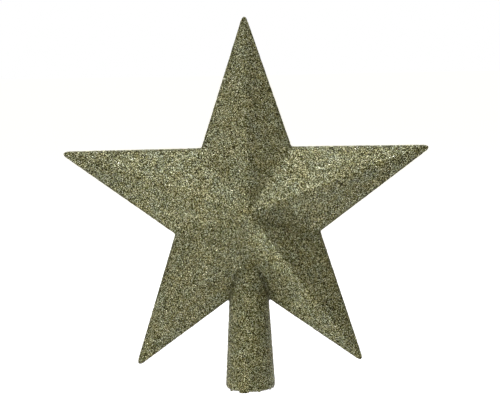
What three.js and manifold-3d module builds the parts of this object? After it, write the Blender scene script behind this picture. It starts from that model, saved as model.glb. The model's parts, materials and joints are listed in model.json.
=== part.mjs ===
// A hollow five-pointed relief star for the top of a christmas tree, on a tapered stem that slips over
// the tree's leader. Two moulded half shells are glued along the seam and covered in a coat of glitter.
// Millimetres. X runs to the star's right, Y from the front face to the back, Z up the stem.
// The origin is the centre of the stem's open mouth.

import * as THREE from 'three';
import { mergeVertices } from 'three/addons/utils/BufferGeometryUtils.js';
import Module from 'manifold-3d';

const wasm = await Module();
wasm.setup();

// Driving dimensions of the star, on the bare plastic
const STAR_POINTS = 5;
const TIP_RADIUS = 97.8; // centre to the corner that each point would have if it were sharp
const NOTCH_RADIUS = 37.95; // centre to the inner corner between two points
const RELIEF = 20.6; // parting plane to the peak in the middle of each face
const EDGE_HALF = 1.1; // half the thickness of the flat edge round the outline
const TIP_ROUNDING = 1.1; // radius of each point, seen from the front

// Driving dimensions of the stem, on the bare plastic
const STEM_LENGTH = 54.1; // mouth to the star's lowest notch
const STEM_MOUTH_RADIUS = 12.3;
const STEM_NECK_RADIUS = 9.15; // at the star's lowest notch
const RIM_ROUNDING = 0.5; // outer corner of the mouth

// How the two halves are moulded and joined
const WALL = 1.5;
const SEAM = 0.2; // thickness of the glue line between the halves
const LIP_CLEARANCE = 0.3; // locating lip to the front shell
const LIP_WALL = 1;
const LIP_HEIGHT = 2.4; // how far the lip reaches into the front shell, from the parting plane
const LIP_ROOT = 1.6; // how far it runs back along the rear shell
const LIP_SETBACK = 3; // lip's lower end to the mouth

// The coat of glitter
const GLUE_FILM = 0.05; // plastic to the coat
const COAT_THICKNESS = 0.35;

// How finely the round parts are divided
const STEM_SIDES = 64;
const TIP_ARC_DIVISIONS = 3;
const RIM_ARC_DIVISIONS = 2;
const MERGE_DISTANCE = 1e-4;

// Derived sizes
const STAR_HEIGHT = STEM_LENGTH + NOTCH_RADIUS; // mouth to the star's centre
const COAT_SKIN = GLUE_FILM + COAT_THICKNESS; // plastic to the outside of the coat
const HALF_TURN_OF_POINT = Math.PI / STAR_POINTS; // from a tip round to the next notch
const STEM_TAPER = Math.atan((STEM_MOUTH_RADIUS - STEM_NECK_RADIUS) / STEM_LENGTH);
const TRIM_REACH = 2 * (TIP_RADIUS + STAR_HEIGHT); // longer than any piece that is trimmed

// Every facet is equally far from the star's centre, so scaling about that centre moves them all by
// the same distance. That is how the walls, the lip and the coat follow the facets.
function facetDistance() {
  const edgeLength = Math.hypot(
    TIP_RADIUS - NOTCH_RADIUS * Math.cos(HALF_TURN_OF_POINT),
    NOTCH_RADIUS * Math.sin(HALF_TURN_OF_POINT),
  );
  const edgeDistance = (TIP_RADIUS * NOTCH_RADIUS * Math.sin(HALF_TURN_OF_POINT)) / edgeLength;
  return (edgeDistance * RELIEF) / Math.hypot(edgeDistance, RELIEF - EDGE_HALF);
}

// The star's outline with its points rounded, as seen from the front.
function starOutline() {
  const halfAngle = Math.atan2(
    NOTCH_RADIUS * Math.sin(HALF_TURN_OF_POINT),
    TIP_RADIUS - NOTCH_RADIUS * Math.cos(HALF_TURN_OF_POINT),
  );
  const arcCentre = TIP_RADIUS - TIP_ROUNDING / Math.sin(halfAngle);
  const arcHalf = Math.PI / 2 - halfAngle;
  const outline = new THREE.Shape();
  for (let point = 0; point < STAR_POINTS; point += 1) {
    const tip = Math.PI / 2 + 2 * HALF_TURN_OF_POINT * point;
    const notch = tip + HALF_TURN_OF_POINT;
    outline.absarc(
      arcCentre * Math.cos(tip),
      arcCentre * Math.sin(tip),
      TIP_ROUNDING,
      tip - arcHalf,
      tip + arcHalf,
      false,
    );
    outline.lineTo(NOTCH_RADIUS * Math.cos(notch), NOTCH_RADIUS * Math.sin(notch));
  }
  return outline.getPoints(TIP_ARC_DIVISIONS);
}

// The star as a closed body: a band round the outline, and flat facets that rise from it to a peak on
// the front and a peak on the back. It stands `skin` outside the bare plastic, or inside it if negative.
function starBody(skin) {
  const outline = starOutline();
  const corners = [];
  const at = (point, y) => new THREE.Vector3(point.x, y, point.y);
  const frontPeak = new THREE.Vector3(0, -RELIEF, 0);
  const backPeak = new THREE.Vector3(0, RELIEF, 0);
  outline.forEach((point, index) => {
    const next = outline[(index + 1) % outline.length];
    corners.push(frontPeak, at(point, -EDGE_HALF), at(next, -EDGE_HALF));
    corners.push(at(point, -EDGE_HALF), at(point, EDGE_HALF), at(next, -EDGE_HALF));
    corners.push(at(next, -EDGE_HALF), at(point, EDGE_HALF), at(next, EDGE_HALF));
    corners.push(backPeak, at(next, EDGE_HALF), at(point, EDGE_HALF));
  });
  const distance = facetDistance();
  const growth = (distance + skin) / distance;
  return new THREE.BufferGeometry()
    .setFromPoints(corners)
    .scale(growth, growth, growth)
    .translate(0, 0, STAR_HEIGHT);
}

// Radius of the bare stem at a height above its mouth.
function stemRadius(height) {
  return STEM_MOUTH_RADIUS - height * Math.tan(STEM_TAPER);
}

// A round body from a profile of radius and height.
function turned(profile) {
  return new THREE.LatheGeometry(profile, STEM_SIDES).rotateX(Math.PI / 2);
}

// The stem's outside, up to inside the star, standing `skin` outside the bare plastic.
function stemBody(skin) {
  const side = skin / Math.cos(STEM_TAPER);
  const rounding = RIM_ROUNDING + skin;
  const roundingCentre = STEM_MOUTH_RADIUS + side - rounding;
  const profile = new THREE.Path();
  profile.moveTo(0, -skin);
  profile.lineTo(roundingCentre, -skin);
  profile.absarc(roundingCentre, RIM_ROUNDING, rounding, -Math.PI / 2, 0, false);
  profile.lineTo(stemRadius(STAR_HEIGHT) + side, STAR_HEIGHT);
  profile.lineTo(0, STAR_HEIGHT);
  return turned(profile.getPoints(RIM_ARC_DIVISIONS));
}

// The space inside the stem, `depth` inside the bare plastic, from below the mouth to inside the star.
function boreBody(depth) {
  const side = depth / Math.cos(STEM_TAPER);
  const start = -STEM_MOUTH_RADIUS;
  return turned([
    new THREE.Vector2(0, start),
    new THREE.Vector2(stemRadius(start) - side, start),
    new THREE.Vector2(stemRadius(STAR_HEIGHT) - side, STAR_HEIGHT),
    new THREE.Vector2(0, STAR_HEIGHT),
  ]);
}

// A closed geometry as a solid that can be joined and cut.
function solid(geometry) {
  const plain = geometry.clone();
  plain.deleteAttribute('normal');
  plain.deleteAttribute('uv');
  const merged = mergeVertices(plain, MERGE_DISTANCE);
  const mesh = new wasm.Mesh({
    numProp: 3,
    vertProperties: merged.attributes.position.array,
    triVerts: new Uint32Array(merged.index.array),
  });
  return new wasm.Manifold(mesh);
}

// The whole outside at a distance outside the bare plastic: star and stem as one.
function outside(skin) {
  return solid(starBody(skin)).add(solid(stemBody(skin)));
}

// The whole inside at a depth inside the bare plastic: the star's hollow and the stem's bore as one.
function inside(depth) {
  return solid(starBody(-depth)).add(solid(boreBody(depth)));
}

// All the space between two planes square to Y.
function slab(front, back) {
  const box = new THREE.BoxGeometry(TRIM_REACH, back - front, TRIM_REACH);
  return solid(box.translate(0, (front + back) / 2, 0));
}

// All the space above a height.
function above(height) {
  const box = new THREE.BoxGeometry(TRIM_REACH, TRIM_REACH, TRIM_REACH);
  return solid(box.translate(0, 0, height + TRIM_REACH / 2));
}

// The tongue of the rear shell that reaches into the front shell and lines the halves up.
function locatingLip() {
  const lipInside = inside(WALL + LIP_CLEARANCE + LIP_WALL);
  const tongue = inside(WALL + LIP_CLEARANCE)
    .subtract(lipInside)
    .intersect(slab(-LIP_HEIGHT, LIP_ROOT));
  const root = outside(-WALL / 2)
    .subtract(lipInside)
    .intersect(slab(SEAM / 2, LIP_ROOT));
  return tongue.add(root).intersect(above(LIP_SETBACK));
}

const wallAllRound = outside(0).subtract(inside(WALL));
const frontShell = wallAllRound.intersect(slab(-TRIM_REACH, -SEAM / 2));
const backShell = wallAllRound.intersect(slab(SEAM / 2, TRIM_REACH)).add(locatingLip());
const seamAdhesive = wallAllRound.intersect(slab(-SEAM / 2, SEAM / 2));
const glitterCoat = outside(COAT_SKIN).subtract(outside(GLUE_FILM)).intersect(above(0));

// The finishes
const shellPlastic = { color: 0x6f6f58, roughness: 0.45, metalness: 0 };
const setGlue = { color: 0xb9ad84, roughness: 0.3, metalness: 0 };
const oliveGlitter = { color: 0x8f8f6b, roughness: 0.4, metalness: 0.7 };

// A solid as a named mesh with its own material.
function piece(name, body, finish) {
  const { numProp, vertProperties, triVerts } = body.getMesh();
  const geometry = new THREE.BufferGeometry();
  geometry.setAttribute('position', new THREE.BufferAttribute(vertProperties, numProp));
  geometry.setIndex(new THREE.BufferAttribute(triVerts, 1));
  geometry.computeVertexNormals();
  const mesh = new THREE.Mesh(geometry, new THREE.MeshStandardMaterial(finish));
  mesh.name = name;
  return mesh;
}

const treeTopper = new THREE.Group();
treeTopper.add(
  piece('front_shell', frontShell, shellPlastic),
  piece('back_shell', backShell, shellPlastic),
  piece('seam_adhesive', seamAdhesive, setGlue),
  piece('glitter_coat', glitterCoat, oliveGlitter),
);

export default treeTopper;
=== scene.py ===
"""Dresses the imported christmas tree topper: a hollow relief star on a tapered stem, coated in glitter.

Metres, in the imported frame. X runs to the star's right, Y from the front face to the back, Z up the
stem, and the origin is the centre of the stem's open mouth.
"""

import json
import logging
import math
import random
from collections.abc import Callable, Iterable, Iterator
from contextlib import contextmanager
from dataclasses import dataclass, field
from enum import Enum
from functools import partial
from typing import Any, Union

import bmesh
import bpy
from mathutils import Matrix, Vector

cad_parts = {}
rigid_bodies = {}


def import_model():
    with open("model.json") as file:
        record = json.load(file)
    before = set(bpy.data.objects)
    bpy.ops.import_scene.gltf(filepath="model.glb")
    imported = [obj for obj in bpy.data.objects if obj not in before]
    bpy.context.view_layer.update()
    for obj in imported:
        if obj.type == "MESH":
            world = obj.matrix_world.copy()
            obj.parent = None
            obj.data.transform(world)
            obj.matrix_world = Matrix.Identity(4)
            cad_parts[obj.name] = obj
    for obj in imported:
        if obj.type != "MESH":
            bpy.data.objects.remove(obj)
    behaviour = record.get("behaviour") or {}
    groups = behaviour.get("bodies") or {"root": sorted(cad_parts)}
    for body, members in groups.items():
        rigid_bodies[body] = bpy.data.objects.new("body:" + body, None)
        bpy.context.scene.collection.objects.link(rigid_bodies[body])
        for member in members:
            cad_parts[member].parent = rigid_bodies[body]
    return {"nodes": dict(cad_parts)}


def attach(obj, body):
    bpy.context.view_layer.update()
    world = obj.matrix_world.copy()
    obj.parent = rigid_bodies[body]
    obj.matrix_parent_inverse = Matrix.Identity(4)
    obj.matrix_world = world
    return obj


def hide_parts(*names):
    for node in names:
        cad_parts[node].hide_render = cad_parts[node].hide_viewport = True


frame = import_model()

log = logging.getLogger("tree_topper")

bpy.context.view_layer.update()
BODY = "root"
MM = 0.001

Pair = tuple[float, float]
Triple = tuple[float, float, float]
Stops = tuple[tuple[float, Triple], ...]
Piece = bpy.types.Object

FALL: Pair = (1.0, 0.0)
CLOUD_SPAN: Pair = (0.3, 0.7)
ROUND_SIDES = 96

WHITE: Triple = (1.0, 1.0, 1.0)
COOL: Triple = (0.975, 0.99, 1.14)
WARM: Triple = (1.01, 1.0, 0.78)
LEFT_COOL: Triple = (1.0, 1.0, 1.1)


# ---------------- hand tools


class Pick(Enum):
    """What is picked in edit mode."""

    POINTS = "VERT"
    EDGES = "EDGE"
    FACES = "FACE"


def clear_selection() -> None:
    """Deselects every object."""
    bpy.ops.object.select_all(action="DESELECT")


def take_up(piece: Piece) -> None:
    """Makes a piece the only selected and the active one.

    Args:
        piece: The object to work on.
    """
    clear_selection()
    piece.select_set(True)
    bpy.context.view_layer.objects.active = piece


@contextmanager
def editing(piece: Piece, pick: Pick) -> Iterator[bmesh.types.BMesh]:
    """Opens a piece in edit mode with nothing selected, and closes it again.

    Args:
        piece: The object to edit.
        pick: What is picked while it is open.

    Returns:
        The open mesh, for choosing points, edges and faces.
    """
    take_up(piece)
    bpy.ops.object.mode_set(mode="EDIT")
    bpy.ops.mesh.select_mode(type=pick.value)
    bpy.ops.mesh.select_all(action="DESELECT")
    try:
        yield bmesh.from_edit_mesh(piece.data)
    finally:
        bpy.ops.object.mode_set(mode="OBJECT")


def choose(mesh: bmesh.types.BMesh, pick: Pick, test: Callable[[Any], bool]) -> None:
    """Selects just the parts of an open mesh that pass a test.

    Args:
        mesh: The open mesh.
        pick: Whether points, edges or faces are tested.
        test: Says whether a part is chosen.
    """
    bpy.ops.mesh.select_all(action="DESELECT")
    parts = {Pick.POINTS: mesh.verts, Pick.EDGES: mesh.edges, Pick.FACES: mesh.faces}[pick]
    for part in parts:
        part.select = test(part)
    mesh.select_flush_mode()


def finish_with(piece: Piece, kind: str, **settings: Any) -> None:
    """Adds a modifier to a piece and applies it.

    Args:
        piece: The object it shapes.
        kind: The modifier's type.
        settings: The modifier's settings.
    """
    take_up(piece)
    bpy.ops.object.modifier_add(type=kind)
    modifier = piece.modifiers[-1]
    for name, value in settings.items():
        setattr(modifier, name, value)
    bpy.ops.object.modifier_apply(modifier=modifier.name)


def model(primitive: Callable[..., Any], name: str = "", **settings: Any) -> Piece:
    """Adds a basic body and moves its place, turn and scale into its mesh.

    Args:
        primitive: The operator that adds it.
        name: Its name, or nothing if it is used up.
        settings: The operator's settings.

    Returns:
        The body, with its origin at the frame's.
    """
    clear_selection()
    primitive(**settings)
    body = bpy.context.active_object
    if name:
        body.name = body.data.name = name
    take_up(body)
    bpy.ops.object.transform_apply(location=True, rotation=True, scale=True)
    return body


def join_as_one(pieces: list[Piece]) -> Piece:
    """Joins meshes into the first one.

    Args:
        pieces: The objects to join.

    Returns:
        The first object, now holding them all.
    """
    take_up(pieces[0])
    for piece in pieces[1:]:
        piece.select_set(True)
    bpy.ops.object.join()
    return pieces[0]


def duplicate(piece: Piece, name: str) -> Piece:
    """Copies a piece with its own mesh.

    Args:
        piece: The object to copy.
        name: The copy's name.

    Returns:
        The copy.
    """
    take_up(piece)
    bpy.ops.object.duplicate(linked=False)
    copy = bpy.context.active_object
    copy.name = copy.data.name = name
    return copy


def cut_with(piece: Piece, tool: Piece, operation: str) -> None:
    """Joins or cuts a closed piece with another closed piece, the tool, which is used up."""
    finish_with(piece, "BOOLEAN", operation=operation, solver="MANIFOLD", object=tool)
    bpy.data.objects.remove(tool)


# ---------------- shader wiring


def maths(operation: str, swapped: bool = False) -> Callable[["Wire", "Value"], "Wire"]:
    """Makes the method behind one of Python's operators on a wire.

    Args:
        operation: The Math node's operation.
        swapped: Whether the wire comes second.

    Returns:
        The method.
    """

    def run(wire: "Wire", other: "Value") -> "Wire":
        """Adds the Math node for a wire and another value."""
        return wire.board.sum(operation, *((other, wire) if swapped else (wire, other)))

    return run


class Wire:
    """An output of a material's node, so that sums on it are written as Python expressions."""

    def __init__(self, board: "Board", socket: bpy.types.NodeSocket) -> None:
        """Holds one output socket and the board that it is on."""
        self.board = board
        self.socket = socket

    __add__ = maths("ADD")
    __radd__ = maths("ADD", swapped=True)
    __sub__ = maths("SUBTRACT")
    __rsub__ = maths("SUBTRACT", swapped=True)
    __mul__ = maths("MULTIPLY")
    __rmul__ = maths("MULTIPLY", swapped=True)
    __truediv__ = maths("DIVIDE")
    __lt__ = maths("LESS_THAN")


Value = Union[Wire, float]


class Board:
    """The node board of one material or world, cleared and ready to wire."""

    def __init__(self, tree: bpy.types.NodeTree) -> None:
        """Clears a node tree and keeps it."""
        self.tree = tree
        tree.nodes.clear()

    def node(
        self,
        kind: str,
        settings: dict[str, Any] | None = None,
        inputs: dict[Any, Any] | None = None,
    ) -> bpy.types.Node:
        """Puts one node on the board.

        Args:
            kind: The node's type.
            settings: Its settings, made before its sockets are filled. "stops" fills a colour ramp.
            inputs: The value or wire for each socket, by the socket's name or number.

        Returns:
            The node.
        """
        made = self.tree.nodes.new(kind)
        for name, value in (settings or {}).items():
            if name == "stops":
                self._fill_ramp(made, value)
            else:
                setattr(made, name, value)
        for key, value in (inputs or {}).items():
            if isinstance(value, Wire):
                self.tree.links.new(value.socket, made.inputs[key])
            else:
                made.inputs[key].default_value = value
        return made

    @staticmethod
    def _fill_ramp(ramp: bpy.types.Node, stops: Stops) -> None:
        """Sets a colour ramp's stops.

        Args:
            ramp: The colour ramp node.
            stops: Position and colour of each stop, in order.
        """
        elements = ramp.color_ramp.elements
        while len(elements) > 1:
            elements.remove(elements[-1])
        for number, (position, colour) in enumerate(stops):
            element = elements[0] if number == 0 else elements.new(position)
            element.position = position
            element.color = (*colour, 1.0)

    def wire(self, node: bpy.types.Node, output: Any = 0) -> Wire:
        """Takes a wire from a node's output."""
        return Wire(self, node.outputs[output])

    def sum(self, operation: str, *terms: Value, clamp: bool = False) -> Wire:
        """Adds a Math node.

        Args:
            operation: The Math node's operation.
            terms: The numbers or wires that it works on.
            clamp: Whether the result is kept between 0 and 1.

        Returns:
            The result.
        """
        settings = {"operation": operation, "use_clamp": clamp}
        return self.wire(self.node("ShaderNodeMath", settings, dict(enumerate(terms))))

    def vector(self, operation: str, *terms: Any, scale: Value | None = None) -> Wire:
        """Adds a Vector Math node.

        Args:
            operation: The Vector Math node's operation.
            terms: The vectors or wires that it works on.
            scale: The factor of a SCALE.

        Returns:
            The resulting vector.
        """
        inputs: dict[Any, Any] = dict(enumerate(terms))
        if scale is not None:
            inputs["Scale"] = scale
        return self.wire(self.node("ShaderNodeVectorMath", {"operation": operation}, inputs))

    def blend(self, share: Value, first: Any, second: Any, how: str = "MIX") -> Wire:
        """Mixes two colours.

        Args:
            share: How much of the second colour shows.
            first: The first colour or wire.
            second: The second colour or wire.
            how: The Mix node's blend type.

        Returns:
            The mixed colour.
        """
        first, second = (c if isinstance(c, Wire) else (*c, 1.0) for c in (first, second))
        settings = {"data_type": "RGBA", "blend_type": how}
        inputs = {0: share, 6: first, 7: second}  # 6 and 7 are the two colours, 2 the mixed one
        return self.wire(self.node("ShaderNodeMix", settings, inputs), 2)

    def ramp(self, along: Wire, stops: Stops, steps: bool = False) -> Wire:
        """Turns a number into a colour.

        Args:
            along: The number, 0 to 1.
            stops: Position and colour of each stop, in order.
            steps: Whether each colour holds until the next stop.

        Returns:
            The colour.
        """
        made = self.node("ShaderNodeValToRGB", {"stops": stops}, {0: along})
        made.color_ramp.interpolation = "CONSTANT" if steps else "LINEAR"
        return self.wire(made)

    def length(self, vector: Wire) -> Wire:
        """Measures a vector."""
        return self.wire(self.node("ShaderNodeVectorMath", {"operation": "LENGTH"}, {0: vector}), 1)

    def spread(self, along: Wire, span: Pair, results: Pair = (0.0, 1.0)) -> Wire:
        """Maps a number from a span to results, which hold before and after it.

        Args:
            along: The number to map.
            span: Where the mapping starts and ends.
            results: The results there.

        Returns:
            The mapped number.
        """
        inputs = dict(enumerate((along, *span, *results)))
        return self.wire(self.node("ShaderNodeMapRange", {"clamp": True}, inputs))

    def place(self) -> Wire:
        """Takes the place on the piece, in metres."""
        return self.wire(self.node("ShaderNodeTexCoord"), "Object")

    def clouds(self, place: Wire, size: float, detail: float) -> Wire:
        """Adds soft clouds of about 0.3 to 0.7, `size` metres apart, with some finer layers."""
        inputs = {"Vector": place, "Scale": 1 / size, "Detail": detail}
        return self.wire(self.node("ShaderNodeTexNoise", {}, inputs))

    def cells(self, place: Wire, size: float, feature: str = "F1", order: float = 1.0) -> bpy.types.Node:
        """Divides the piece into cells.

        Args:
            place: Where on the piece.
            size: How far apart the cells are, in metres.
            feature: What is measured in a cell.
            order: 1 for cells in no order, less for cells nearer to a grid.

        Returns:
            The node, with a distance, a colour and a position for each cell.
        """
        inputs = {"Vector": place, "Scale": 1 / size, "Randomness": order}
        return self.node("ShaderNodeTexVoronoi", {"feature": feature}, inputs)

    def surface(self, inputs: dict[str, Any]) -> None:
        """Ends a material with one surface, from the value or wire for each of its sockets."""
        surface = self.node("ShaderNodeBsdfPrincipled", {}, inputs)
        self.node("ShaderNodeOutputMaterial", {}, {0: self.wire(surface)})


def new_board(name: str) -> tuple[bpy.types.Material, Board]:
    """Makes a material with a clear board.

    Args:
        name: The material's name.

    Returns:
        The material and its board.
    """
    material = bpy.data.materials.new(name)
    material.use_nodes = True
    return material, Board(material.node_tree)


def put_on(piece: Piece, material: bpy.types.Material) -> None:
    """Gives every face of a piece one material.

    Args:
        piece: The object.
        material: Its material.
    """
    if not piece.data.materials:
        piece.data.materials.append(material)
    for number in range(len(piece.data.materials)):
        piece.data.materials[number] = material


# ---------------- finishes


def soft_edge(middle: float, blur: float) -> Pair:
    """Gives the span of a soft edge, in metres, from its middle and half its width in millimetres."""
    return ((middle - blur) * MM, (middle + blur) * MM)


class Spot:
    """A place on the coat, as wires that its shades are worked out from."""

    def __init__(self, board: Board, form: "TopperForm") -> None:
        """Takes the place apart.

        Args:
            board: The material's board.
            form: The sizes of the piece.
        """
        self.board = board
        self.place = board.place()
        apart = board.node("ShaderNodeSeparateXYZ", {}, {0: self.place})
        self.side, self.depth, self.height = (board.wire(apart, axis) for axis in "XYZ")
        self.up = self.height - form.star_height
        self.off_axis = board.sum("ABSOLUTE", self.side)
        self.off_seam = board.sum("ABSOLUTE", self.depth)
        self.reach = board.length(board.vector("SUBTRACT", self.place, (0.0, 0.0, form.star_height)))


@dataclass(frozen=True)
class Drift:
    """A drift of the mix of flakes, between browner and greener."""

    size: float
    detail: float
    span: Pair
    brown: Triple
    green: Triple

    def tint(self, spot: Spot, colour: Wire) -> Wire:
        """Tints the flakes.

        Args:
            spot: Where on the piece.
            colour: The flakes' colour.

        Returns:
            The tinted colour.
        """
        board = spot.board
        share = board.spread(board.clouds(spot.place, self.size, self.detail), self.span)
        return board.blend(1.0, colour, board.blend(share, self.brown, self.green), "MULTIPLY")


@dataclass(frozen=True)
class Strip:
    """A strip of the star, from its middle outwards, painted lighter (painted light) where its gain is
    above 0 and darker (painted shade) where it is below.

    Lengths are in millimetres, and `heading` is in degrees anticlockwise from the star's right.
    `soft` blurs the strip's two sides and `fades` its two ends.
    """

    heading: float
    across: Pair
    soft: Pair
    along: Pair
    gain: float
    fades: Pair = (3.0, 5.0)

    def share(self, spot: Spot) -> Wire:
        """Works out the strip's painted light, or its painted shade where its gain is below 0.

        Args:
            spot: Where on the piece.

        Returns:
            The strip's gain inside it, and 0 outside.
        """
        board, turn = spot.board, math.radians(self.heading)
        ahead = spot.side * math.cos(turn) + spot.up * math.sin(turn)
        aside = spot.up * math.cos(turn) - spot.side * math.sin(turn)
        near_side, far_side = map(soft_edge, self.across, self.soft)
        start, end = map(soft_edge, self.along, self.fades)
        inside = board.spread(aside, near_side, (0.0, self.gain)) * board.spread(aside, far_side, FALL)
        return inside * board.spread(ahead, start) * board.spread(ahead, end, FALL)


@dataclass(frozen=True)
class StemShade:
    """The painted shade round the stem: in its crease with the star, its painted shadow in its lee, and
    painted shade above it and on its neck.

    A pair is the value left and right of the stem, or where a fade starts and ends.
    """

    form: "TopperForm"
    skin: float = 0.45 * MM
    left_to_right: Pair = (-6 * MM, 6 * MM)

    # Painted shade in the crease between the stem and the star
    crease: Pair = (0.62, 0.61)
    crease_slack: float = 1.1
    crease_out: Pair = (2.6 * MM, 5.4 * MM)
    crease_in: Pair = (4.0 * MM, 3.5 * MM)
    crease_foot: Pair = (43 * MM, 50 * MM)
    crease_top: Pair = (57 * MM, 66 * MM)
    narrowing: Pair = (52 * MM, 66 * MM)
    narrowest: float = 0.4

    # The stem's painted shadow in its lee
    lee: float = 0.24
    lee_run: Pair = (18 * MM, 30 * MM)
    lee_brink: Pair = (9.7 * MM, 6.2 * MM)
    lee_blur: Pair = (-1.2 * MM, 1.2 * MM)
    lee_side: Pair = (-1 * MM, 2 * MM)
    lee_start: Pair = (16 * MM, 20 * MM)
    lee_end: Pair = (44 * MM, 56 * MM)
    lee_off_stem: Pair = (1 * MM, 4 * MM)

    # Painted shade above the stem's arch
    brow: float = 0.14
    brow_height: float = 73 * MM
    brow_fade: Pair = (3 * MM, 9 * MM)

    # Painted shade round the stem's neck
    neck: float = 0.14
    neck_fade: Pair = (0.3 * MM, 1 * MM)
    neck_foot: Pair = (42 * MM, 52 * MM)

    def _off_stem(self, spot: Spot) -> Wire:
        """Measures how far a place lies off the stem's cone.

        Args:
            spot: The place.

        Returns:
            The distance, 0 on the stem.
        """
        form, board = self.form, spot.board
        flat = board.wire(board.node("ShaderNodeCombineXYZ", {}, {0: spot.side, 1: spot.depth}))
        taper = (form.mouth_radius - form.neck_radius) / form.stem_length
        off_stem = board.length(flat) + spot.height * taper - (form.mouth_radius + self.skin)
        return board.sum("MAXIMUM", off_stem, 0.0)

    def _off_face(self, spot: Spot) -> Wire:
        """Measures how far a place stands out from the star's lowest facets.

        Args:
            spot: The place.

        Returns:
            The distance, 0 on the facets.
        """
        form = self.form
        step = form.relief - form.edge_half
        rise = step / form.notch_radius
        slope = rise / math.tan(form.half_turn) - step / (form.tip_radius * math.sin(form.half_turn))
        face = form.relief * form.growth(self.skin) - rise * form.star_height
        off_face = spot.off_seam - (spot.height * rise + spot.off_axis * slope + face)
        return spot.board.sum("MAXIMUM", off_face, 0.0)

    def _crease(self, spot: Spot, off_stem: Wire) -> Wire:
        """Works out the painted shade in the crease between the stem and the star.

        Args:
            spot: The place.
            off_stem: Its distance off the stem.

        Returns:
            The share of the light that is lost.
        """
        spread, height = spot.board.spread, spot.height
        across = partial(spread, spot.side, self.left_to_right)
        width = across(self.crease_out) * spread(height, self.narrowing, (1.0, self.narrowest))
        near = self.crease_slack - off_stem / width - self._off_face(spot) / across(self.crease_in)
        near = spread(near, (0.0, 1.0)) * across(self.crease)
        return near * spread(height, self.crease_foot) * spread(height, self.crease_top, FALL)

    def _lee(self, spot: Spot, off_stem: Wire) -> Wire:
        """Works out the stem's painted shadow, between the stem and the bright ridge of the low right
        point.

        Args:
            spot: The place.
            off_stem: Its distance off the stem.

        Returns:
            The share of the light that is lost.
        """
        spread, turn = spot.board.spread, self.form.half_turn
        down = self.form.star_height - spot.height
        off_ridge = down * math.sin(turn) - spot.side * math.cos(turn)
        outward = down * math.cos(turn) + spot.side * math.sin(turn)
        lee = off_ridge - spread(outward, self.lee_run, self.lee_brink)
        lee = spread(lee, self.lee_blur, (0.0, self.lee))
        lee = lee * spread(spot.side, self.lee_side) * spread(off_stem, self.lee_off_stem)
        return lee * spread(outward, self.lee_start) * spread(outward, self.lee_end, FALL)

    def unshaded(self, spot: Spot) -> Wire:
        """Works out how much of the colour the painted shade round the stem leaves.

        Args:
            spot: The place.

        Returns:
            1 away from the stem, and less in its painted shade.
        """
        board, off_stem = spot.board, self._off_stem(spot)
        # Painted shade above the stem's arch (the brow) and round its top (the neck).
        above = {0: spot.side, 1: spot.height - self.brow_height}
        from_brow = board.length(board.wire(board.node("ShaderNodeCombineXYZ", {}, above)))
        brow = board.spread(from_brow, self.brow_fade, (self.brow, 0.0))
        neck = board.spread(off_stem, self.neck_fade, (self.neck, 0.0))
        neck = neck * board.spread(spot.height, self.neck_foot)
        unshaded = 1.0 - self._crease(spot, off_stem)
        for shade in (self._lee(spot, off_stem), brow, neck):
            unshaded = unshaded * (1.0 - shade)
        return unshaded


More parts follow.
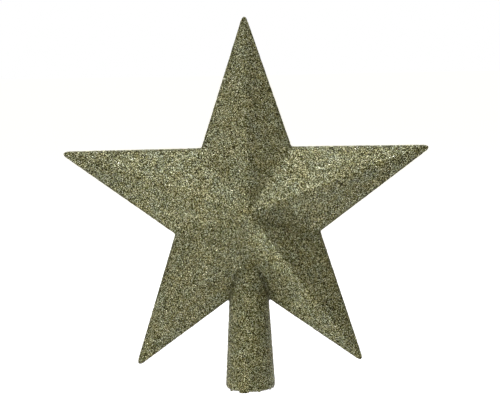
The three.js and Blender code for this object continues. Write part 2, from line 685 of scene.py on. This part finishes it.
@dataclass(frozen=True)
class Glitter:
    """Fine olive and champagne flakes, each lying at its own angle in clear glue, with light and shade
    painted into their colour.

    A pair is where a fade starts and ends, or the values at its start and end.
    """

    form: "TopperForm"
    stem_shade: StemShade

    # One flake, and the glue over it
    flake: float = 0.27 * MM
    tilt: float = 0.3
    metal: Pair = (0.33, 0.03)
    roughness: Pair = (0.32, 0.58)
    gloss: float = 0.05
    glue: float = 0.05
    glue_roughness: float = 0.28

    # Colours of the flakes, and of the dark glue between them, which is also the colour that the painted
    # shade darkens towards
    shades: Stops = (
        (0.0, (0.005, 0.005, 0.000)),
        (0.52, (0.026, 0.025, 0.001)),
        (0.65, (0.133, 0.134, 0.041)),
        (0.82, (0.431, 0.442, 0.222)),
        (1.0, (0.925, 0.945, 0.640)),
    )
    odd_flakes: Stops = (
        (0.0, (0.25, 0.19, 0.085)),
        (0.3, (0.22, 0.24, 0.080)),
        (0.6, (0.30, 0.30, 0.22)),
        (0.85, (0.08, 0.07, 0.04)),
    )
    odd_share: float = 0.08
    drifts: tuple[Drift, ...] = (
        Drift(11 * MM, 2.0, (0.35, 0.65), (1.025, 0.99, 0.93), (0.985, 1.005, 1.05)),
        Drift(3.5 * MM, 1.0, (0.38, 0.62), (1.025, 0.99, 0.93), (0.98, 1.005, 1.06)),
    )
    dark_glue_and_shade: Triple = (0.02, 0.019, 0.006)
    gap: Pair = (0.0, 0.1)
    gap_light: Pair = (0.15, 1.0)

    # How densely the flakes lie in small clumps, with painted light and shade: brighter in the middle
    # than at the tips, and in strips
    clump: float = 1.25 * MM
    clump_order: float = 0.7
    clump_fade: Pair = (0.15, 0.75)
    clump_gains: Pair = (1.12, 0.88)
    middle_to_tips: Pair = (25 * MM, 85 * MM)
    middle_to_tip_light: Pair = (1.02, 0.9)
    painted_strips: tuple[Strip, ...] = (
        Strip(-54, (-6.5, 0), (1.2, 0.3), (11, 36), 0.27),
        Strip(-54, (-11, -6.5), (2, 1.2), (10, 20), 0.2),
        Strip(-54, (-12, 0), (2, 0.3), (50, 66), 0.08),
        Strip(90, (-5, 0), (2.5, 0.3), (8, 75), -0.11),
        Strip(-18, (-5, 6.5), (2.5, 2.5), (6, 33), -0.2),
        Strip(162, (1, 16), (1.5, 3), (16, 60), 0.1),
        Strip(18, (0, 22), (0.3, 3), (16, 85), 0.09),
        Strip(-126, (-22, 0), (1, 0.3), (20, 85), -0.06),
    )

    # Painted shade: a dark outline along the star's sharp edge, weaker low down and at the tips
    edge_fade: Pair = (1.3 * MM, 2.2 * MM)
    edge_unshaded: Pair = (0.6, 1.0)
    edge_rise: Pair = (20 * MM, 56 * MM)
    edge_low: Pair = (0.35, 1.0)
    edge_tips: Pair = (72 * MM, 92 * MM)
    edge_far: Pair = (1.0, 0.3)

    # Bare flakes. The calm pairs say how much less the flakes lean, and how many fewer lie bare.
    bare_share: float = 0.013
    bare_colour: Triple = (0.73, 0.72, 0.56)
    bare_roughness: float = 0.25
    upward: Pair = (0.3, 0.5)
    stem_end: Pair = (46 * MM, 54 * MM)
    stem_side: Pair = (13.5 * MM, 15 * MM)
    calm_top: Pair = (0.35, 0.8)
    calm_stem: Pair = (0.3, 0.6)

    def _flake_colour(self, spot: Spot, shade: Wire, oddity: Wire) -> Wire:
        """Gives each flake its colour.

        Args:
            spot: Where on the piece.
            shade: The flake's own chance of being bright.
            oddity: The flake's own chance of being an odd one.

        Returns:
            The flake's colour.
        """
        board = spot.board
        kind = board.spread(oddity, (0.0, self.odd_share))
        odd_colour = board.ramp(kind, self.odd_flakes, steps=True)
        colour = board.blend(oddity < self.odd_share, board.ramp(shade, self.shades), odd_colour)
        for drift in self.drifts:
            colour = drift.tint(spot, colour)
        return colour

    def _density_and_painted_light(self, spot: Spot) -> Wire:
        """Works out how densely the flakes lie in clumps, with the painted light and shade from the
        middle to the tips and in the strips.

        Args:
            spot: Where on the piece.

        Returns:
            The density times the painted light and shade, about 1.
        """
        board = spot.board
        clumps = board.cells(spot.place, self.clump, order=self.clump_order)
        density_and_light = board.spread(board.wire(clumps, "Distance"), self.clump_fade, self.clump_gains)
        density_and_light = density_and_light * board.spread(spot.reach, self.middle_to_tips, self.middle_to_tip_light)
        for strip in self.painted_strips:
            density_and_light = density_and_light * (1.0 + strip.share(spot))
        return density_and_light

    def _edge(self, spot: Spot) -> Wire:
        """Works out the painted shade of the dark outline along the star's sharp edge.

        Args:
            spot: Where on the piece.

        Returns:
            1 away from the outline, and less on it.
        """
        spread = spot.board.spread
        outline_shade_strength = spread(spot.height, self.edge_rise, self.edge_low)
        outline_shade_strength = outline_shade_strength * spread(spot.reach, self.edge_tips, self.edge_far)
        return 1.0 - (1.0 - spread(spot.off_seam, self.edge_fade, self.edge_unshaded)) * outline_shade_strength

    def _calm(self, spot: Spot, normal: Wire) -> list[Wire]:
        """Works out where the flakes lie flatter: on faces that look up, and on the stem.

        Args:
            spot: Where on the piece.
            normal: Where the surface faces.

        Returns:
            How much of their lean is left, and how many of the bare flakes.
        """
        board = spot.board
        faces = board.node("ShaderNodeSeparateXYZ", {}, {0: normal})
        upward = board.spread(board.wire(faces, "Z"), self.upward)
        on_stem = board.spread(spot.height, self.stem_end, FALL)
        on_stem = on_stem * board.spread(spot.off_axis, self.stem_side, FALL)
        calms = zip(self.calm_top, self.calm_stem)
        return [1.0 - top * upward - stem * on_stem for top, stem in calms]

    def material(self) -> bpy.types.Material:
        """Wires the finish.

        Returns:
            The material.
        """
        material, board = new_board("olive_glitter")
        spot = Spot(board, self.form)

        # Each cell is a flake, with its own chances of shade, oddity, polish and lean.
        flakes = board.cells(spot.place, self.flake)
        gaps = board.cells(spot.place, self.flake, "DISTANCE_TO_EDGE")
        chances = board.node("ShaderNodeSeparateColor", {}, {0: board.wire(flakes, "Color")})
        shade, oddity, polish = (board.wire(chances, number) for number in range(3))
        own = board.node(
            "ShaderNodeTexWhiteNoise", {"noise_dimensions": "3D"}, {0: board.wire(flakes, "Position")}
        )

        colour = self._flake_colour(spot, shade, oddity)
        # The clumps' density carries painted light and shade: the falloff from the middle to the tips,
        # and the strips.
        colour = board.vector("SCALE", colour, scale=self._density_and_painted_light(spot))
        lit = board.spread(board.wire(gaps, "Distance"), self.gap, self.gap_light)
        colour = board.blend(lit, self.dark_glue_and_shade, colour)
        # Painted shade: the dark outline and the shade round the stem blend the colour towards the dark
        # glue colour.
        unshaded = self._edge(spot) * self.stem_shade.unshaded(spot)
        colour = board.blend(unshaded, self.dark_glue_and_shade, colour)

        # A few flakes lie bare and mirror the light.
        normal = board.wire(board.node("ShaderNodeNewGeometry"), "Normal")
        loose, few = self._calm(spot, normal)
        bare = board.wire(own, "Value") < self.bare_share * few
        lean = board.vector("SUBTRACT", board.wire(own, "Color"), (0.5, 0.5, 0.5))
        lean = board.vector("SCALE", lean, scale=2 * self.tilt * loose)
        roughness = board.spread(polish, (0.0, 1.0), self.roughness)
        metal = board.spread(polish, (0.0, 1.0), self.metal)
        board.surface(
            {
                "Base Color": board.blend(bare, colour, self.bare_colour),
                "Roughness": board.sum("MULTIPLY_ADD", bare, self.bare_roughness - roughness, roughness),
                "Metallic": board.sum("MAXIMUM", bare, metal),
                "Normal": board.vector("NORMALIZE", board.vector("ADD", normal, lean)),
                "Specular IOR Level": self.gloss,
                "Coat Weight": self.glue,
                "Coat Roughness": self.glue_roughness,
            }
        )
        return material


@dataclass(frozen=True)
class MouldedPlastic:
    """Satin olive plastic of the shell, with fine mould texture and flow marks."""

    darker: Triple = (0.128, 0.1264, 0.08)
    lighter: Triple = (0.184, 0.1817, 0.115)
    flow: float = 14 * MM
    flow_detail: float = 4.0
    grain: float = 0.5 * MM
    grain_detail: float = 3.0
    grain_lift: float = 0.05 * MM
    grain_strength: float = 0.25
    roughness: Pair = (0.38, 0.55)

    def material(self) -> bpy.types.Material:
        """Wires the finish.

        Returns:
            The material.
        """
        material, board = new_board("shell_plastic")
        place = board.place()
        flow = board.spread(board.clouds(place, self.flow, self.flow_detail), CLOUD_SPAN)
        grain = board.clouds(place, self.grain, self.grain_detail)
        lift = {"Strength": self.grain_strength, "Distance": self.grain_lift, "Height": grain}
        board.surface(
            {
                "Base Color": board.blend(flow, self.darker, self.lighter),
                "Roughness": board.spread(grain, CLOUD_SPAN, self.roughness),
                "Normal": board.wire(board.node("ShaderNodeBump", {}, lift)),
            }
        )
        return material


@dataclass(frozen=True)
class SetGlue:
    """Yellowish set glue with small bubbles."""

    darker: Triple = (0.36, 0.315, 0.1725)
    lighter: Triple = (0.48, 0.42, 0.23)
    haze: float = 5 * MM
    haze_detail: float = 3.0
    bubble: float = 0.6 * MM
    bubble_edge: Pair = (0.1, 0.25)
    bubble_lift: float = 0.05 * MM
    roughness: Pair = (0.22, 0.4)

    def material(self) -> bpy.types.Material:
        """Wires the finish.

        Returns:
            The material.
        """
        material, board = new_board("set_glue")
        place = board.place()
        haze = board.spread(board.clouds(place, self.haze, self.haze_detail), CLOUD_SPAN)
        bubbles = board.wire(board.cells(place, self.bubble), "Distance")
        pits = {"Distance": self.bubble_lift, "Height": board.spread(bubbles, self.bubble_edge)}
        board.surface(
            {
                "Base Color": board.blend(haze, self.darker, self.lighter),
                "Roughness": board.spread(haze, (0.0, 1.0), self.roughness),
                "Normal": board.wire(board.node("ShaderNodeBump", {}, pits)),
            }
        )
        return material


# ---------------- the object


@dataclass(frozen=True)
class TopperForm:
    """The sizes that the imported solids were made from, on the bare plastic."""

    points: int = 5
    tip_radius: float = 97.8 * MM
    notch_radius: float = 37.95 * MM
    relief: float = 20.6 * MM
    edge_half: float = 1.1 * MM
    stem_length: float = 54.1 * MM
    mouth_radius: float = 12.3 * MM
    neck_radius: float = 9.15 * MM
    wall: float = 1.5 * MM
    glue_film: float = 0.05 * MM
    coat: float = 0.35 * MM

    @property
    def star_height(self) -> float:
        """Height of the star's centre above the mouth."""
        return self.stem_length + self.notch_radius

    @property
    def half_turn(self) -> float:
        """Angle from a tip round to the next notch."""
        return math.pi / self.points

    @property
    def tip_half_angle(self) -> float:
        """Half the angle of a point, seen from the front."""
        across = self.notch_radius * math.sin(self.half_turn)
        along = self.tip_radius - self.notch_radius * math.cos(self.half_turn)
        return math.atan2(across, along)

    def growth(self, skin: float) -> float:
        """Works out how much larger the star is that stands `skin` outside the bare plastic.

        Args:
            skin: Distance outside the bare facets.

        Returns:
            The scale about the star's centre.
        """
        across = self.notch_radius * math.sin(self.half_turn)
        edge = math.hypot(self.tip_radius - self.notch_radius * math.cos(self.half_turn), across)
        edge_distance = self.tip_radius * across / edge
        slope = math.hypot(edge_distance, self.relief - self.edge_half)
        distance = edge_distance * self.relief / slope
        return (distance + skin) / distance

    def stem_radius(self, height: float) -> float:
        """Radius of the bare stem at a height above its mouth."""
        taper = (self.mouth_radius - self.neck_radius) / self.stem_length
        return self.mouth_radius - taper * height


@dataclass
class BodyBlank:
    """A closed star and stem, standing some distance outside the bare plastic."""

    form: TopperForm
    skin: float
    name: str
    tip_rounding: float = 1.1 * MM
    tip_divisions: int = 4
    rim_rounding: float = 0.5 * MM
    rim_divisions: int = 3
    rim_skin: float | None = None
    facing: float = 0.9

    def star(self) -> Piece:
        """Models the star: a flat ring of ten corners, drawn out to a band and poked to two peaks.

        Returns:
            The star, closed.
        """
        form, grown = self.form, self.form.growth(self.skin)
        centre = (0.0, 0.0, form.star_height)
        star = model(
            bpy.ops.mesh.primitive_circle_add,
            self.name,
            vertices=2 * form.points,
            radius=form.tip_radius * grown,
            fill_type="NGON",
            location=centre,
            rotation=(math.pi / 2, 0.0, 0.0),
        )

        def is_notch(point: bmesh.types.BMVert) -> bool:
            """Says whether a corner is an odd half turn of a point away from the upper tip."""
            turn = math.atan2(point.co.x, point.co.z - form.star_height)
            return round(turn / form.half_turn) % 2 == 1

        with editing(star, Pick.POINTS) as mesh:
            choose(mesh, Pick.POINTS, is_notch)
            inward = form.notch_radius / form.tip_radius
            bpy.ops.transform.resize(value=(inward, 1.0, inward), center_override=centre)
            choose(mesh, Pick.POINTS, lambda point: not is_notch(point))
            setback = self.tip_rounding * grown / math.tan(form.tip_half_angle)
            bpy.ops.mesh.bevel(affect="VERTICES", offset=setback, segments=self.tip_divisions)

        half = form.edge_half * grown
        with editing(star, Pick.FACES) as mesh:
            bpy.ops.mesh.select_all(action="SELECT")
            bpy.ops.transform.translate(value=(0.0, -half, 0.0))
            bpy.ops.mesh.extrude_region_move(TRANSFORM_OT_translate={"value": (0.0, 2 * half, 0.0)})
            bpy.ops.mesh.select_all(action="SELECT")
            bpy.ops.mesh.normals_make_consistent(inside=False)
            choose(mesh, Pick.FACES, lambda face: abs(face.normal.y) > self.facing)
            bpy.ops.mesh.poke(offset=form.relief * grown - half)
        return star

    def stem(self) -> Piece:
        """Models the stem as a tapered plug with a rounded rim, up to inside the star.

        Returns:
            The stem, closed.
        """
        form = self.form
        taper = math.atan((form.mouth_radius - form.neck_radius) / form.stem_length)
        side = self.skin / math.cos(taper)
        below = self.skin if self.rim_skin is None else self.rim_skin
        stem = model(
            bpy.ops.mesh.primitive_cone_add,
            vertices=ROUND_SIDES,
            radius1=form.stem_radius(-below) + side,
            radius2=form.stem_radius(form.star_height) + side,
            depth=form.star_height + below,
            location=(0.0, 0.0, (form.star_height - below) / 2),
        )
        with editing(stem, Pick.EDGES) as mesh:
            choose(mesh, Pick.EDGES, lambda edge: all(point.co.z < 0.0 for point in edge.verts))
            rounding = self.rim_rounding + self.skin
            bpy.ops.mesh.bevel(offset=rounding, segments=self.rim_divisions)
        return stem

    def build(self) -> Piece:
        """Models the star and the stem as one closed body.

        Returns:
            The body.
        """
        star = self.star()
        cut_with(star, self.stem(), "UNION")
        return star


@dataclass
class GlitterCoat:
    """The crust of glitter: uneven, rougher on the stem, with lumps round its rim."""

    form: TopperForm
    finish: Glitter
    grain: float = 0.5 * MM
    stand_out: float = 0.05 * MM
    tip_rounding: float = 1.72 * MM
    rim_rounding: float = 1.65 * MM
    rim_skin: float = 0.4 * MM
    seed: int = 20

    # The uneven surface: how high and far apart its swells are, in how many finer layers, and what
    # counts as the stem
    swell: float = 0.28 * MM
    swell_size: float = 2.2 * MM
    swell_depth: int = 2
    stem_swell: float = 0.3 * MM
    stem_swell_size: float = 1.1 * MM
    stem_swell_depth: int = 1
    stem_reach: float = 1.15
    stem_fade: float = 12 * MM
    flake_lift: float = 0.075 * MM

    # The lumps round the rim: one wide lump, its place given from the rim, and many small ones
    wide_drip_place: Triple = (-3.4 * MM, 0.7 * MM, -0.2 * MM)
    wide_drip_size: Triple = (3.0 * MM, 1.2 * MM, 0.75 * MM)
    rim_drips: int = 46
    drip_turn: Pair = (-0.4, 0.4)
    drip_inset_mm: Pair = (0.5, 1.2)
    drip_width_mm: Pair = (0.45, 0.85)
    drip_height_mm: Pair = (-0.2, 0.4)
    drip_flatness: Pair = (0.6, 1.0)

    # The open mouth: how much wider than the bore at both ends, how long, and the height of its middle
    mouth_slack: Pair = (0.35 * MM, 0.25 * MM)
    mouth_length: float = 12 * MM
    mouth_middle: float = -2 * MM

    @staticmethod
    def _drip(place: Triple, size: Triple) -> Piece:
        """Adds one lump of glue and flakes at a place, with a radius each way."""
        sphere = bpy.ops.mesh.primitive_ico_sphere_add
        return model(sphere, subdivisions=2, radius=1.0, location=place, scale=size)

    def _rim_drips(self) -> list[Piece]:
        """Adds the lumps round the rim of the stem.

        Returns:
            The lumps.
        """
        chance = random.Random(self.seed)
        ring = self.form.mouth_radius
        across, inset, up = self.wide_drip_place
        drips = [self._drip((across, inset - ring, up), self.wide_drip_size)]
        for number in range(self.rim_drips):
            turn = 2 * math.pi * (number + chance.uniform(*self.drip_turn)) / self.rim_drips
            reach = ring - chance.uniform(*self.drip_inset_mm) * MM
            width = chance.uniform(*self.drip_width_mm) * MM
            up = chance.uniform(*self.drip_height_mm) * MM
            height = width * chance.uniform(*self.drip_flatness)
            place = (reach * math.cos(turn), reach * math.sin(turn), up)
            drips.append(self._drip(place, (width, width, height)))
        return drips

    def _stem_share(self, place: Vector) -> float:
        """Says how far a place belongs to the stem.

        Args:
            place: A point of the coat.

        Returns:
            1 on the stem, falling to 0 where it meets the star.
        """
        radius = math.hypot(place.x, place.y)
        near = 1.0 if radius < self.stem_reach * self.form.mouth_radius else 0.0
        top = self.form.stem_length
        return near * min(1.0, max(0.0, (top - place.z) / self.stem_fade))

    @staticmethod
    def _swell(coat: Piece, high: float, size: float, depth: int, group: str = "") -> None:
        """Swells and dips the coat in soft clouds.

        Args:
            coat: The outside of the coat.
            high: From the lowest dip to the highest swell.
            size: How far apart the swells are.
            depth: How many finer layers they have.
            group: The points that move, or all if empty.
        """
        clouds = bpy.data.textures.new("swell", "CLOUDS")
        clouds.noise_scale = size
        clouds.noise_depth = depth
        settings = {"texture": clouds, "texture_coords": "LOCAL", "mid_level": 0.5}
        finish_with(coat, "DISPLACE", **settings, strength=high, vertex_group=group)

    def _roughen(self, coat: Piece) -> None:
        """Swells and dips the coat, more on the stem, then tips every small face.

        Args:
            coat: The outside of the coat.
        """
        group = coat.vertex_groups.new(name="stem")
        for point in coat.data.vertices:
            share = self._stem_share(point.co)
            if share > 0.0:
                group.add([point.index], share, "REPLACE")
        self._swell(coat, self.swell, self.swell_size, self.swell_depth)
        self._swell(coat, self.stem_swell, self.stem_swell_size, self.stem_swell_depth, group.name)
        with editing(coat, Pick.POINTS):
            bpy.ops.mesh.select_all(action="SELECT")
            bpy.ops.transform.vertex_random(offset=self.flake_lift, seed=self.seed)

    def _hollow(self) -> Piece:
        """Models what the coat surrounds: the shell with its glue film, and the open mouth.

        Returns:
            The body to take away.
        """
        form = self.form
        core = BodyBlank(form, form.glue_film, "coat_core").build()
        bore = form.mouth_radius - form.wall
        mouth = model(
            bpy.ops.mesh.primitive_cone_add,
            vertices=ROUND_SIDES,
            radius1=bore + self.mouth_slack[0],
            radius2=bore + self.mouth_slack[1],
            depth=self.mouth_length,
            location=(0.0, 0.0, self.mouth_middle),
        )
        cut_with(core, mouth, "UNION")
        return core

    def _half(self, coat: Piece, name: str, side: float) -> Piece:
        """Cuts one half of the coat off at the parting plane.

        Args:
            coat: The whole coat.
            name: The half's name.
            side: -1 for the front half, 1 for the back half.

        Returns:
            The half, closed.
        """
        half = duplicate(coat, name)
        reach = 4 * self.form.tip_radius  # longer than the coat, whichever side it is on
        middle = (0.0, side * reach / 2, 0.0)
        block = model(bpy.ops.mesh.primitive_cube_add, size=reach, location=middle)
        cut_with(half, block, "INTERSECT")
        self._drop_crumbs(half)
        return half

    def _drop_crumbs(self, half: Piece) -> None:
        """Deletes the loose crumbs that a cut has left beside a half.

        Args:
            half: The half, whose one body reaches its highest point.
        """
        top = max(point.co.z for point in half.data.vertices)
        with editing(half, Pick.POINTS) as mesh:
            choose(mesh, Pick.POINTS, lambda point: point.co.z >= top)
            bpy.ops.mesh.select_linked()
            bpy.ops.mesh.select_all(action="INVERT")
            bpy.ops.mesh.delete(type="VERT")

    def build(self) -> None:
        """Models the coat as a front and a back half, and gives them their finish."""
        form = self.form
        skin = form.glue_film + form.coat + self.stand_out
        body = BodyBlank(
            form,
            skin,
            "coat_body",
            tip_rounding=self.tip_rounding,
            rim_rounding=self.rim_rounding,
            rim_skin=self.rim_skin,
        ).build()
        coat = join_as_one([body, *self._rim_drips()])
        finish_with(coat, "REMESH", mode="VOXEL", voxel_size=self.grain, adaptivity=0.0)
        self._roughen(coat)
        cut_with(coat, self._hollow(), "DIFFERENCE")
        halves = [self._half(coat, "glitter_front", -1.0), self._half(coat, "glitter_back", 1.0)]
        bpy.data.objects.remove(coat)
        material = self.finish.material()
        for half in halves:
            put_on(half, material)
            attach(half, BODY)
            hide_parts("glitter_coat")
            log.info("%s: %d faces", half.name, len(half.data.polygons))


@dataclass
class Shells:
    """The moulded half shells and the glue line between them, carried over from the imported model."""

    plastic: MouldedPlastic
    glue: SetGlue

    def dress(self) -> None:
        """Gives the carried-over nodes their finishes."""
        plastic = self.plastic.material()
        for name in ("front_shell", "back_shell"):
            put_on(frame["nodes"][name], plastic)
            log.info("%s: dressed", name)
        put_on(frame["nodes"]["seam_adhesive"], self.glue.material())
        log.info("seam_adhesive: dressed")


# ---------------- studio


@dataclass(frozen=True)
class CameraStand:
    """Where the camera stands, and by how many degrees the star is turned to it."""

    distance: float = 750 * MM
    across: float = -1.285 * MM
    upward: float = -4.57 * MM
    yaw: float = 1.15
    pitch: float = 5.72
    roll: float = -1.02
    lens: float = 106.0
    sensor: float = 36.0
    nearest: float = 10 * MM

    def place(self, target: Vector) -> None:
        """Sets up the camera.

        Args:
            target: The star's centre.
        """
        turn = (
            Matrix.Rotation(math.radians(self.roll), 3, "Y")
            @ Matrix.Rotation(math.radians(self.pitch), 3, "X")
            @ Matrix.Rotation(math.radians(self.yaw), 3, "Z")
        )
        right, ahead, up = (Vector(turn[row]) for row in range(3))
        spot = target - (right * self.across + ahead * self.distance + up * self.upward)
        optics = bpy.data.cameras.new("camera")
        optics.lens = self.lens
        optics.sensor_width = self.sensor
        optics.clip_start = self.nearest
        camera = bpy.data.objects.new("camera", optics)
        bpy.context.scene.collection.objects.link(camera)
        axes = Matrix((right, up, -ahead)).transposed().to_4x4()
        camera.matrix_world = Matrix.Translation(spot) @ axes
        bpy.context.scene.camera = camera


@dataclass(frozen=True)
class SoftBox:
    """One large soft lamp that faces the star."""

    name: str
    spot: Triple
    width: float
    height: float
    power: float
    colour: Triple

    def place(self, target: Vector) -> None:
        """Sets up the lamp.

        Args:
            target: What it faces.
        """
        light = bpy.data.lights.new(self.name, "AREA")
        light.shape = "RECTANGLE"
        light.size = self.width
        light.size_y = self.height
        light.energy = self.power
        light.color = self.colour
        lamp = bpy.data.objects.new(self.name, light)
        bpy.context.scene.collection.objects.link(lamp)
        lamp.location = self.spot
        lamp.rotation_euler = (target - Vector(self.spot)).to_track_quat("-Z", "Y").to_euler()
        lamp.visible_camera = False


@dataclass
class Studio:
    """A plain pale floor, a white surround, soft lamps and the camera."""

    target: Vector
    floor_size: float = 60.0
    floor_drop: float = 0.3
    floor_grey: Triple = (0.62, 0.62, 0.62)
    floor_glow_reach: Pair = (0.6, 2.2)
    floor_glow: Pair = (0.0, 0.95)
    surround: float = 0.16
    surround_colour: Triple = (1.24, 0.98, 0.35)
    camera: CameraStand = field(default_factory=CameraStand)
    lamps: tuple[SoftBox, ...] = (
        SoftBox("overhead", (0.0, 0.3, 2.0), 1.6, 1.3, 91.0, COOL),
        SoftBox("rear_left", (-0.6, 0.5, 0.8), 0.5, 0.4, 8.5, COOL),
        SoftBox("rear_right", (0.6, 0.5, 0.8), 0.5, 0.4, 11.0, COOL),
        SoftBox("left_side", (-1.0, -0.5, 0.25), 0.3, 0.3, 3.05, LEFT_COOL),
        SoftBox("low_front", (-0.35, -1.7, -0.2), 0.8, 0.25, 2.9, WARM),
        SoftBox("low_left", (-0.2, -0.28, -0.1), 0.12, 0.12, 0.2, WARM),
    )

    def _surround(self) -> None:
        """Makes the world: plain light on the piece, and white wherever it is seen or mirrored."""
        world = bpy.data.worlds.new("surround")
        world.use_nodes = True
        bpy.context.scene.world = world
        board = Board(world.node_tree)
        path = board.node("ShaderNodeLightPath")
        seen = board.wire(path, "Is Camera Ray") + board.wire(path, "Is Glossy Ray")
        seen = board.sum("ADD", seen, board.wire(path, "Is Transmission Ray"), clamp=True)
        strength = self.surround + seen * (1.0 - self.surround)
        colour = board.blend(seen, self.surround_colour, WHITE)
        back = board.node("ShaderNodeBackground", {}, {"Color": colour, "Strength": strength})
        board.node("ShaderNodeOutputWorld", {}, {0: board.wire(back)})

    def _floor(self) -> None:
        """Makes the floor, which shows white far from the piece and keeps its shadow."""
        spot = (0.0, 0.0, -self.floor_drop)
        plane = bpy.ops.mesh.primitive_plane_add
        floor = model(plane, "floor", size=self.floor_size, location=spot)
        material, board = new_board("pale_floor")
        path = board.node("ShaderNodeLightPath")
        seen = (board.wire(path, ray) for ray in ("Is Camera Ray", "Is Glossy Ray"))
        seen = board.sum("ADD", *seen, clamp=True)
        unlit = board.spread(board.length(board.place()), self.floor_glow_reach, self.floor_glow)
        matt = board.node("ShaderNodeBsdfDiffuse", {}, {"Color": (*self.floor_grey, 1.0)})
        shine = {"Color": (*WHITE, 1.0), "Strength": seen * unlit}
        glow = board.node("ShaderNodeEmission", {}, shine)
        both = board.node("ShaderNodeAddShader", {}, {0: board.wire(matt), 1: board.wire(glow)})
        board.node("ShaderNodeOutputMaterial", {}, {0: board.wire(both)})
        put_on(floor, material)

    def build(self) -> None:
        """Sets up the whole studio."""
        bpy.context.scene.view_settings.view_transform = "Standard"
        self.camera.place(self.target)
        for lamp in self.lamps:
            lamp.place(self.target)
        self._surround()
        self._floor()
        log.info("studio: %d lamps", len(self.lamps))


def main() -> None:
    """Builds and dresses every piece, and sets up the studio."""
    logging.basicConfig(level=logging.INFO, format="%(message)s")
    form = TopperForm()
    Studio(target=Vector((0.0, 0.0, form.star_height))).build()
    GlitterCoat(form, Glitter(form, StemShade(form))).build()
    Shells(MouldedPlastic(), SetGlue()).dress()


if __name__ == "__main__":
    main()
